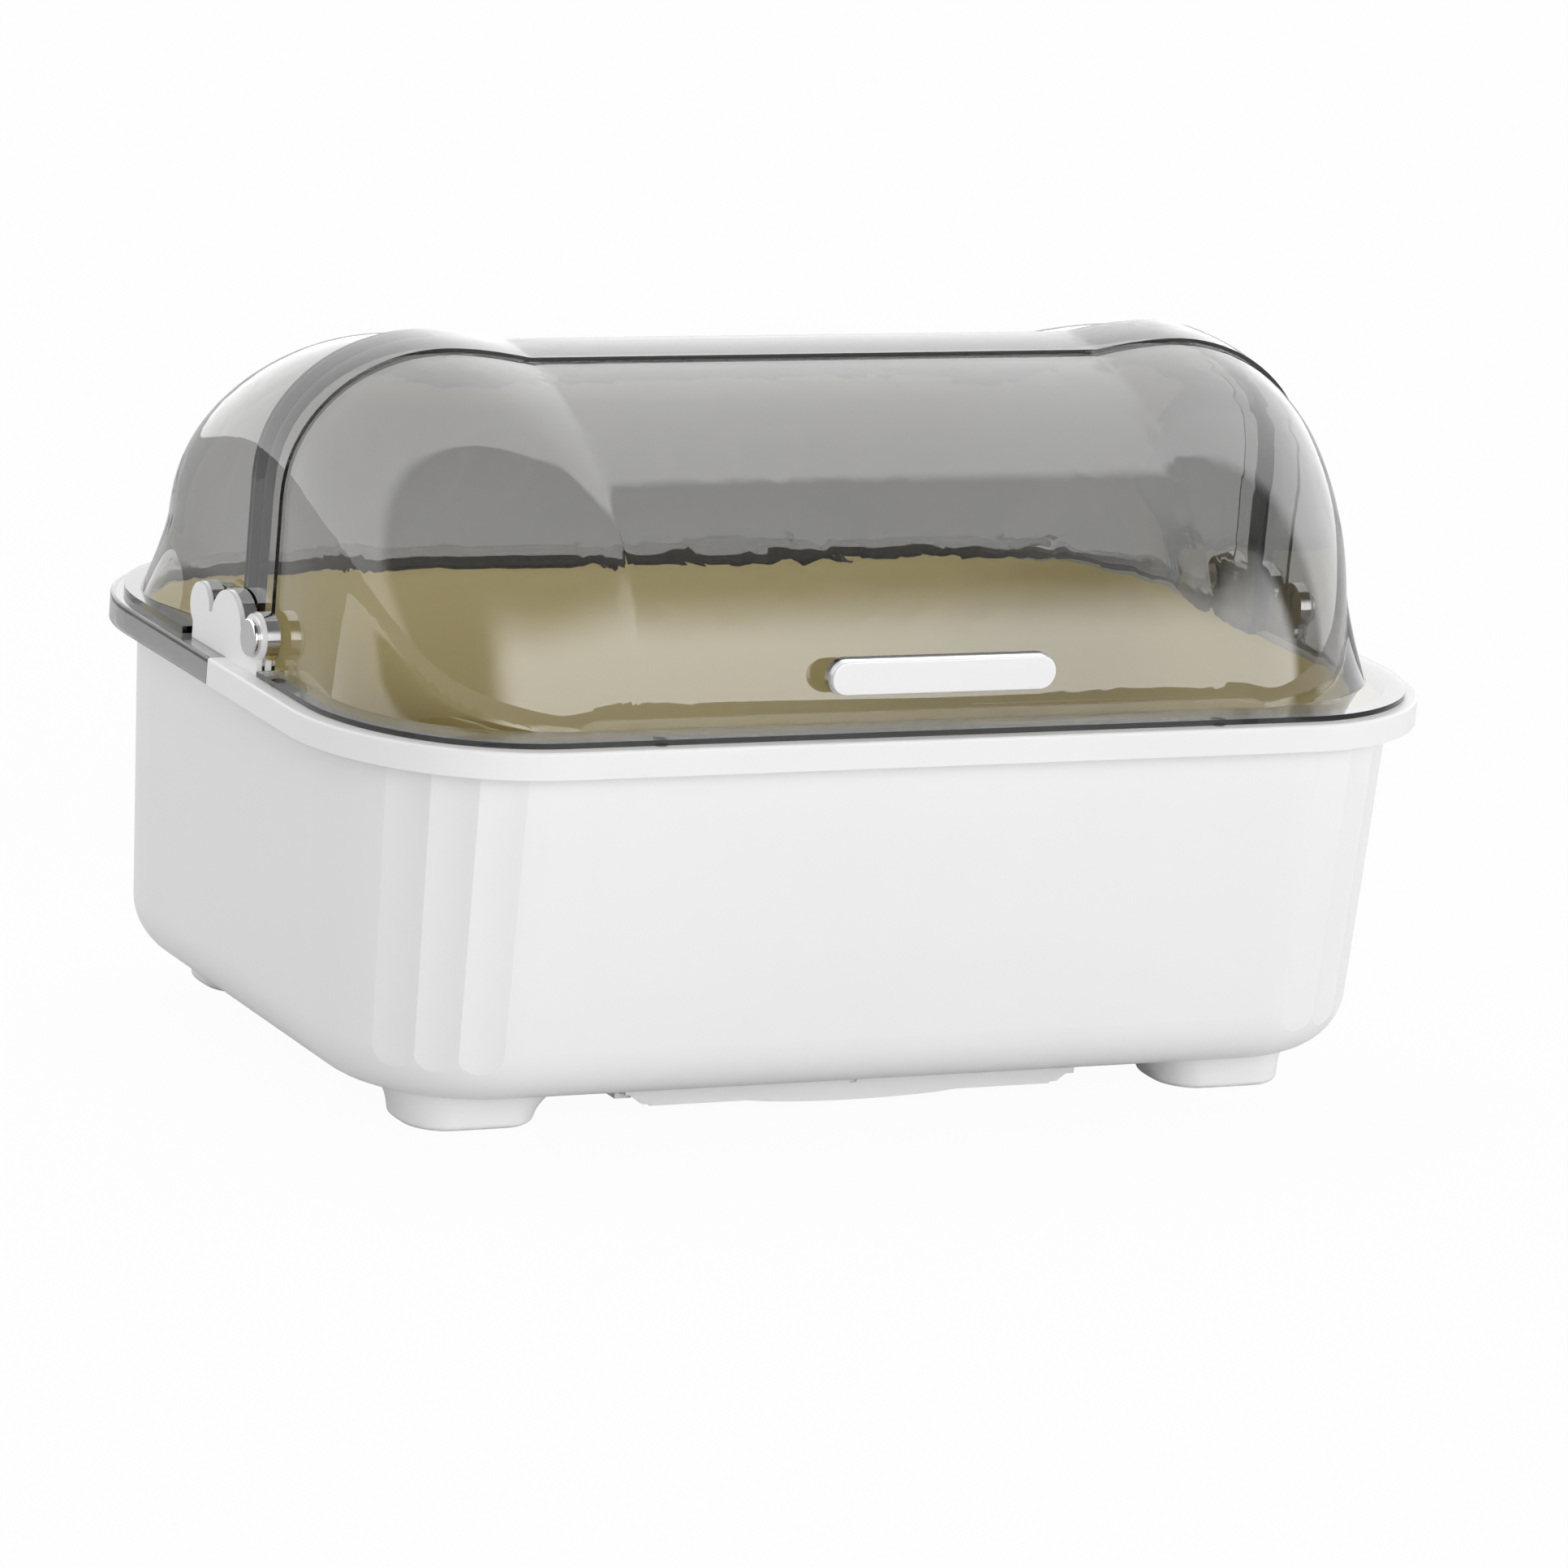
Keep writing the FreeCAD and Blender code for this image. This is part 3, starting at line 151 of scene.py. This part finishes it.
class DishRackStage(PropertyGroup):
    azimuth: FloatProperty(name="Azimuth", default=math.radians(-27.69), subtype="ANGLE",
                           description="Where the camera stands round the rack, from its front")
    elevation: FloatProperty(name="Elevation", default=math.radians(13.89), subtype="ANGLE",
                             description="How far the camera looks down")
    roll: FloatProperty(name="Roll", default=math.radians(4.95), subtype="ANGLE",
                        description="How far the camera is turned about its own line of sight")
    distance: length("Distance", 3.24454, "From the camera to the point that it looks at")
    lens: FloatProperty(name="Lens", default=204.51, description="Focal length in millimetres")
    target: FloatVectorProperty(name="Target", default=(0.01277, 0.0, 0.09231), subtype="TRANSLATION",
                                unit="LENGTH", size=3, description="The point that the camera looks at")
    floor: colour("Floor", (0.75, 0.75, 0.75), "Colour of the floor")
    ambient: share("Ambient", 0.25, "Brightness of the room in front of the rack", 0.0, 4.0)
    backdrop: share("Backdrop", 1.0, "How much brighter the room is behind the rack", 0.0, 4.0)
    key: FloatProperty(name="Key", default=2.5, min=0.0, description="Brightness of the low front softbox")
    sparkle: share("Sparkle", 1.2, "How much brighter the softbox looks in shiny pieces", 0.0, 4.0)
    white: share("White", 0.96, "How much of the floor that the camera sees is plain white")


# Materials


class Finish:
    """A material's node tree, with short calls that add and join nodes."""

    def __init__(self, name):
        self.material = bpy.data.materials.new(name)
        self.material.use_nodes = True
        self.tree = self.material.node_tree
        self.tree.nodes.clear()
        self.output = self.node("ShaderNodeOutputMaterial")
        self.place = self.node("ShaderNodeTexCoord").outputs["Object"]

    def node(self, kind, **values):
        made = self.tree.nodes.new(kind)
        for key, value in values.items():
            setattr(made, key, value)
        return made

    def join(self, source, target):
        self.tree.links.new(source, target)

    def noise(self, size, detail=2.0, stretch=(1, 1, 1)):
        """A noise pattern whose features are about one size, in metres."""
        mapping = self.node("ShaderNodeMapping")
        mapping.inputs["Scale"].default_value = stretch
        texture = self.node("ShaderNodeTexNoise")
        texture.inputs["Scale"].default_value = 1.0 / size
        texture.inputs["Detail"].default_value = detail
        self.join(self.place, mapping.inputs["Vector"])
        self.join(mapping.outputs["Vector"], texture.inputs["Vector"])
        return texture.outputs["Fac"]

    def spread(self, source, low, high):
        """The pattern's middle range carried on to a range of values."""
        ranged = self.node("ShaderNodeMapRange")
        ranged.inputs["From Min"].default_value = NOISE_LOW
        ranged.inputs["From Max"].default_value = NOISE_HIGH
        ranged.inputs["To Min"].default_value = low
        ranged.inputs["To Max"].default_value = high
        self.join(source, ranged.inputs["Value"])
        return ranged.outputs["Result"]

    def blend(self, source, first, second):
        """A colour between two, by a pattern."""
        mix = self.node("ShaderNodeMix", data_type="RGBA")
        mix.inputs["A"].default_value = (*first, 1.0)
        mix.inputs["B"].default_value = (*second, 1.0)
        self.join(source, mix.inputs["Factor"])
        return mix.outputs["Result"]

    def bump(self, source, depth, strength=1.0):
        bump = self.node("ShaderNodeBump")
        bump.inputs["Strength"].default_value = strength
        bump.inputs["Distance"].default_value = depth
        self.join(source, bump.inputs["Height"])
        return bump.outputs["Normal"]

    def shader(self, **values):
        """The main shader, with its sockets named with underscores for spaces."""
        shader = self.node("ShaderNodeBsdfPrincipled")
        for key, value in values.items():
            socket = shader.inputs[key.replace("_", " ")]
            if isinstance(value, bpy.types.NodeSocket):
                self.join(value, socket)
            elif isinstance(value, (tuple, list)) and len(value) == 3:
                socket.default_value = (*value, 1.0)
            else:
                socket.default_value = value
        return shader.outputs["BSDF"]


def scaled(values, factor):
    return tuple(min(1.0, value * factor) for value in values)


def moulded(name, tint, roughness, grain, cloud=0.985, coat=0.0):
    """Moulded plastic: faint clouding of its colour and gloss, and a fine texture from the mould."""
    finish = Finish(name)
    base = finish.blend(finish.spread(finish.noise(0.09, 3.0), 0.0, 1.0), scaled(tint, cloud), tuple(tint))
    gloss = finish.spread(finish.noise(0.021, 4.0), roughness - 0.035, roughness + 0.035)
    texture = finish.bump(finish.noise(grain, 1.0), 0.00002, 0.5)
    surface = finish.shader(Base_Color=base, Roughness=gloss, Normal=texture, IOR=1.49, Coat_Weight=coat,
                            Coat_Roughness=0.08)
    finish.join(surface, finish.output.inputs["Surface"])
    return finish.material


def metal(name, tint, low, high, stretch=(1, 1, 1)):
    """Plated or brushed metal with faint unevenness in its gloss."""
    finish = Finish(name)
    gloss = finish.spread(finish.noise(0.004, 3.0, stretch), low, high)
    base = finish.blend(finish.spread(finish.noise(0.012), 0.0, 1.0), scaled(tint, 0.96), tuple(tint))
    surface = finish.shader(Base_Color=base, Roughness=gloss, Metallic=1.0)
    finish.join(surface, finish.output.inputs["Surface"])
    return finish.material


def smoked(name, face, tint, density, ior):
    """Smoked clear plastic that darkens with its thickness. The studio's light shines through it."""
    finish = Finish(name)
    gloss = finish.spread(finish.noise(0.05, 3.0), 0.0, 0.012)
    glass = finish.shader(Base_Color=tuple(face), Roughness=gloss, IOR=ior, Transmission_Weight=1.0)
    clear = finish.node("ShaderNodeBsdfTransparent")
    rays = finish.node("ShaderNodeLightPath")
    lit = finish.node("ShaderNodeMath", operation="MAXIMUM")
    mix = finish.node("ShaderNodeMixShader")
    finish.join(rays.outputs["Is Shadow Ray"], lit.inputs[0])
    finish.join(rays.outputs["Is Diffuse Ray"], lit.inputs[1])
    finish.join(lit.outputs[0], mix.inputs["Fac"])
    finish.join(glass, mix.inputs[1])
    finish.join(clear.outputs["BSDF"], mix.inputs[2])
    finish.join(mix.outputs["Shader"], finish.output.inputs["Surface"])
    absorption = finish.node("ShaderNodeVolumeAbsorption")
    absorption.inputs["Color"].default_value = (*tint, 1.0)
    absorption.inputs["Density"].default_value = density
    finish.join(absorption.outputs["Volume"], finish.output.inputs["Volume"])
    return finish.material


def give(names, material):
    """Put a material on every slot of the named nodes."""
    for name in names:
        slots = NODES[name].data.materials
        if not slots:
            slots.append(material)
        for index in range(len(slots)):
            slots[index] = material


# Shapes


def grid_piece(name, points, body, material):
    """A new piece from a grid of points, rows by columns, with its faces outwards. It rides on a body."""
    rows, columns = points.shape[:2]
    index = np.arange(rows * columns).reshape(rows, columns)
    corners = np.stack([index[:-1, :-1], index[1:, :-1], index[1:, 1:], index[:-1, 1:]], axis=-1)
    mesh = bpy.data.meshes.new(name)
    mesh.from_pydata(points.reshape(-1, 3).tolist(), [], corners.reshape(-1, 4).tolist())
    mesh.materials.append(material)
    mesh.polygons.foreach_set("use_smooth", np.ones(len(mesh.polygons), dtype=bool))
    piece = bpy.data.objects.new(name, mesh)
    bpy.context.scene.collection.objects.link(piece)
    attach(piece, body)
    return piece


def below(value, limit):
    """A value held softly below a limit: the fourth-power mean of the two, turned upside down."""
    return (value ** -4.0 + limit ** -4.0) ** -0.25


def cover_skin(depths, inset):
    """The cover's skin near the seam, drawn in by an inset, on a grid of depths by places across the width.
    The arch over the depth is the square root of one less the depth squared, as a share of half the
    cover's depth. Across the width follow a straight side, a quarter ellipse, and a shoulder whose drop
    is a power of the way to its crease, then the flat middle. Half is worked out and mirrored."""
    arch = np.sqrt(1 - (depths / (COVER_HALF_DEPTH - inset)) ** 2)[:, None]
    low = (COVER_RISE - inset) * arch
    high = (COVER_RISE + SHOULDER_RISE - inset) * arch
    side = COVER_HALF_WIDTH - inset
    tall = below(EDGE_HEIGHT - inset, EDGE_LIMIT * high)
    wide = below(EDGE_WIDTH - inset, side - CREASE - SHOULDER_LEAST)
    way = np.linspace(0, 1, SIDE_STEPS)[None, :]
    angle = np.linspace(0, np.pi / 2, ROUND_STEPS)[None, 1:]
    drop = np.linspace(0, 1, SHOULDER_STEPS)[None, 1:]
    flat = np.linspace(1, 0, MIDDLE_STEPS)[None, 1:]
    ones = np.ones_like(arch)
    x = np.hstack([side * ones * np.ones_like(way), ones * (side - wide + wide * np.cos(angle)),
                   ones * (side - wide + (CREASE - side + wide) * drop), ones * CREASE * flat])
    z = np.hstack([FOOT_GAP + (high - tall - FOOT_GAP) * way, high - tall + tall * np.sin(angle),
                   high - (high - low) * drop ** SHOULDER_BEND, low * np.ones_like(flat)])
    x = np.hstack([x, -x[:, -2::-1]])
    z = np.hstack([z, z[:, -2::-1]])
    y = np.broadcast_to(depths[:, None], x.shape)
    return np.stack([x, y, z + RIM_TOP], axis=-1)


# Stage


def direction(azimuth, elevation):
    """The unit vector from the rack towards a place round it. Azimuth 0 is its front."""
    return Vector((math.sin(azimuth) * math.cos(elevation), -math.cos(azimuth) * math.cos(elevation),
                   math.sin(elevation)))


class DISHRACK_OT_stage(Operator):
    """Set up the camera, the floor, the even light and the softboxes"""
    bl_idname = "dishrack.stage"
    bl_label = "Stage"

    def execute(self, context):
        settings = context.scene.dishrack_stage
        context.scene.view_settings.view_transform = "Standard"
        self.make_camera(context, settings)
        self.make_world(context, settings)
        self.make_floor(settings)
        return {"FINISHED"}

    def make_camera(self, context, settings):
        back = direction(settings.azimuth, settings.elevation)
        right = (-back).cross(Vector((0, 0, 1))).normalized()
        up = back.cross(right)
        cos, sin = math.cos(settings.roll), math.sin(settings.roll)
        turned = Matrix((cos * right + sin * up, cos * up - sin * right, back)).transposed().to_4x4()
        camera = bpy.data.objects.new("Camera", bpy.data.cameras.new("Camera"))
        camera.data.lens = settings.lens
        camera.data.sensor_width = 36.0
        camera.data.clip_end = 50.0
        camera.matrix_world = Matrix.Translation(Vector(settings.target) + back * settings.distance) @ turned
        context.scene.collection.objects.link(camera)
        context.scene.camera = camera

    def make_world(self, context, settings):
        """A studio of soft-edged panels round the rack, which the camera sees as plain white."""
        world = bpy.data.worlds.new("Studio")
        world.use_nodes = True
        context.scene.world = world
        nodes, links = world.node_tree.nodes, world.node_tree.links

        def math_node(operation, first, second=0.0):
            made = nodes.new("ShaderNodeMath")
            made.operation = operation
            for socket, value in zip(made.inputs, (first, second)):
                if isinstance(value, bpy.types.NodeSocket):
                    links.new(value, socket)
                else:
                    socket.default_value = value
            return made.outputs[0]

        def edge(angle, dark, bright):
            """A smooth rise from 0 to 1 as an angle goes from one value, in degrees, to another."""
            ranged = nodes.new("ShaderNodeMapRange")
            ranged.interpolation_type = "SMOOTHSTEP"
            low, high = math.radians(min(dark, bright)), math.radians(max(dark, bright))
            ranged.inputs["From Min"].default_value = low
            ranged.inputs["From Max"].default_value = high
            ranged.inputs["To Min"].default_value = 0.0 if dark < bright else 1.0
            ranged.inputs["To Max"].default_value = 1.0 if dark < bright else 0.0
            links.new(angle, ranged.inputs["Value"])
            return ranged.outputs["Result"]

        def panel(radiance, *edges):
            """A panel's light: its brightness where all its soft edges are passed."""
            light = radiance
            for side in edges:
                light = math_node("MULTIPLY", side, light)
            return light

        split = nodes.new("ShaderNodeSeparateXYZ")
        links.new(nodes.new("ShaderNodeTexCoord").outputs["Generated"], split.inputs[0])
        azimuth = math_node("ARCTAN2", split.outputs["X"], math_node("MULTIPLY", split.outputs["Y"], -1.0))
        height = math_node("ARCSINE", split.outputs["Z"])
        around = math_node("ABSOLUTE", azimuth)
        key = panel(settings.key, edge(azimuth, *KEY_LEFT), edge(azimuth, *KEY_RIGHT),
                    edge(height, *KEY_TOP))
        rays = nodes.new("ShaderNodeLightPath")
        glossy = rays.outputs["Is Glossy Ray"]
        sparkle = math_node("ADD", math_node("MULTIPLY", glossy, settings.sparkle), 1.0)
        softbox = math_node("MULTIPLY", key, sparkle)
        cut = math_node("MULTIPLY", glossy, settings.ambient * GLOSSY_CUT)
        room = math_node("SUBTRACT", settings.ambient, cut)
        back_light = math_node("MULTIPLY", panel(settings.backdrop, edge(around, *BACKDROP_START)), sparkle)
        room = math_node("ADD", room, back_light)
        strength = nodes.new("ShaderNodeMix")
        strength.inputs["B"].default_value = 1.0
        seen = math_node("MAXIMUM", rays.outputs["Is Camera Ray"], rays.outputs["Is Transmission Ray"])
        links.new(seen, strength.inputs["Factor"])
        links.new(math_node("ADD", room, softbox), strength.inputs["A"])
        background = nodes["Background"]
        background.inputs["Color"].default_value = (1.0, 1.0, 1.0, 1.0)
        links.new(strength.outputs["Result"], background.inputs["Strength"])

    def make_floor(self, settings):
        """A wide flat disc at the height of the pads, lit, and blended with plain white to the camera."""
        finish = Finish("Floor")
        matt = finish.node("ShaderNodeBsdfDiffuse")
        matt.inputs["Color"].default_value = (*settings.floor, 1.0)
        white = finish.node("ShaderNodeEmission")
        rays = finish.node("ShaderNodeLightPath")
        seen = finish.node("ShaderNodeMath", operation="MAXIMUM")
        white_share = finish.node("ShaderNodeMath", operation="MULTIPLY")
        white_share.inputs[1].default_value = settings.white
        mix = finish.node("ShaderNodeMixShader")
        finish.join(rays.outputs["Is Camera Ray"], seen.inputs[0])
        finish.join(rays.outputs["Is Transmission Ray"], seen.inputs[1])
        finish.join(seen.outputs[0], white_share.inputs[0])
        finish.join(white_share.outputs[0], mix.inputs["Fac"])
        finish.join(matt.outputs["BSDF"], mix.inputs[1])
        finish.join(white.outputs["Emission"], mix.inputs[2])
        finish.join(mix.outputs["Shader"], finish.output.inputs["Surface"])
        angles = np.linspace(0, 2 * np.pi, FLOOR_SIDES, endpoint=False)
        level = np.full(FLOOR_SIDES, CAD_BOX[0].z)
        ring = np.stack([FLOOR_RADIUS * np.cos(angles), FLOOR_RADIUS * np.sin(angles), level], axis=1)
        mesh = bpy.data.meshes.new("Floor")
        mesh.from_pydata(ring.tolist(), [], [list(range(FLOOR_SIDES))])
        mesh.materials.append(finish.material)
        floor = bpy.data.objects.new("Floor", mesh)
        bpy.context.scene.collection.objects.link(floor)


# Finishes


class DISHRACK_OT_shell(Operator):
    """Finish the white tub, its feet, the drawer, the rails and the pads"""
    bl_idname = "dishrack.shell"
    bl_label = "Tub and feet"

    def execute(self, context):
        finishes = context.scene.dishrack_finishes
        shell = moulded("White shell", finishes.shell, finishes.shell_roughness, finishes.grain)
        give(("tub", *FEET, "drip_tray", "tray_rail_left", "tray_rail_right"), shell)
        give(("foot_pads",), moulded("Soft pad", finishes.pad, 0.8, 0.0006, 0.9))
        return {"FINISHED"}


class DISHRACK_OT_basket(Operator):
    """Finish the drain basket, the plate and bowl racks and the cutlery holder"""
    bl_idname = "dishrack.basket"
    bl_label = "Basket and racks"

    def execute(self, context):
        finishes = context.scene.dishrack_finishes
        beige = moulded("Beige basket", finishes.beige, finishes.beige_roughness, 0.0009)
        give(("drain_basket", "plate_rack", "plate_dividers", "bowl_rack", "bowl_dividers",
              "cutlery_holder", "cutlery_divider"), beige)
        return {"FINISHED"}


class DISHRACK_OT_cover(Operator):
    """Finish both halves of the smoked cover and the clear dots that the front half rests on"""
    bl_idname = "dishrack.cover"
    bl_label = "Cover"

    def execute(self, context):
        finishes = context.scene.dishrack_finishes
        smoke = smoked("Smoked clear", finishes.smoke_face, finishes.smoke, finishes.smoke_density,
                       finishes.smoke_ior)
        give(("front_cover", "rear_cover", "cover_bumpers"), smoke)
        return {"FINISHED"}


class DISHRACK_OT_seam_shade(Operator):
    """Lay a near-black strip in the gap where the cover's halves overlap, as painted shade for the dark seam
    """
    bl_idname = "dishrack.seal"
    bl_label = "Seam shade"

    def execute(self, context):
        sizes = context.scene.dishrack_seal
        # The strip's near-black finish is painted shade for the seam
        seam_shade_finish = moulded("Painted seam shade", sizes.tint, 0.45, 0.0007, 0.8)
        depths = np.linspace(sizes.front, sizes.back, SHADE_STRIP_ROWS)
        strip = grid_piece("cover_seam_shade", cover_skin(depths, sizes.inset), "base", seam_shade_finish)
        wall = strip.modifiers.new("Thickness", "SOLIDIFY")
        wall.thickness = sizes.thickness
        wall.offset = 0.0
        return {"FINISHED"}


class DISHRACK_OT_fittings(Operator):
    """Finish the hinges, the handle, the pins and the screws"""
    bl_idname = "dishrack.fittings"
    bl_label = "Hinges and handle"

    def execute(self, context):
        finishes = context.scene.dishrack_finishes
        chrome = metal("Chrome", finishes.chrome, 0.03, 0.075)
        trim = moulded("White trim", finishes.trim, 0.2, 0.0016, 0.99, coat=0.6)
        steel = metal("Steel", finishes.steel, 0.24, 0.4, (1, 1, 6))
        give([f"hinge_block_{side}" for side in SIDES] + [f"hinge_button_{side}" for side in SIDES], chrome)
        give(("handle_rim", "handle_mount"), chrome)
        give([f"hinge_face_{side}" for side in SIDES] + ["handle_bar"], trim)
        give([f"cover_pin_{side}" for side in SIDES], steel)
        give(("pin_rings", "hinge_screws", "handle_screws", "foot_screws", "rail_screws"), steel)
        return {"FINISHED"}


class DISHRACK_PT_panel(Panel):
    bl_label = "Dish Rack"
    bl_idname = "DISHRACK_PT_panel"
    bl_space_type = "VIEW_3D"
    bl_region_type = "UI"
    bl_category = "Dish Rack"

    def draw(self, context):
        scene = context.scene
        for group in (scene.dishrack_finishes, scene.dishrack_seal, scene.dishrack_stage):
            column = self.layout.column()
            for name in group.__annotations__:
                column.prop(group, name)
        for operator in OPERATORS:
            self.layout.operator(operator.bl_idname)


OPERATORS = (DISHRACK_OT_stage, DISHRACK_OT_shell, DISHRACK_OT_basket, DISHRACK_OT_cover, DISHRACK_OT_seam_shade,
             DISHRACK_OT_fittings)
CLASSES = (DishRackFinishes, DishRackSeamShade, DishRackStage, *OPERATORS, DISHRACK_PT_panel)


def register():
    for cls in CLASSES:
        bpy.utils.register_class(cls)
    bpy.types.Scene.dishrack_finishes = PointerProperty(type=DishRackFinishes)
    bpy.types.Scene.dishrack_seal = PointerProperty(type=DishRackSeamShade)
    bpy.types.Scene.dishrack_stage = PointerProperty(type=DishRackStage)


def unregister():
    del bpy.types.Scene.dishrack_stage
    del bpy.types.Scene.dishrack_seal
    del bpy.types.Scene.dishrack_finishes
    for cls in reversed(CLASSES):
        bpy.utils.unregister_class(cls)


def main():
    register()
    bpy.ops.dishrack.stage()
    bpy.ops.dishrack.shell()
    bpy.ops.dishrack.basket()
    bpy.ops.dishrack.cover()
    bpy.ops.dishrack.seal()
    bpy.ops.dishrack.fittings()


if __name__ == "__main__":
    main()
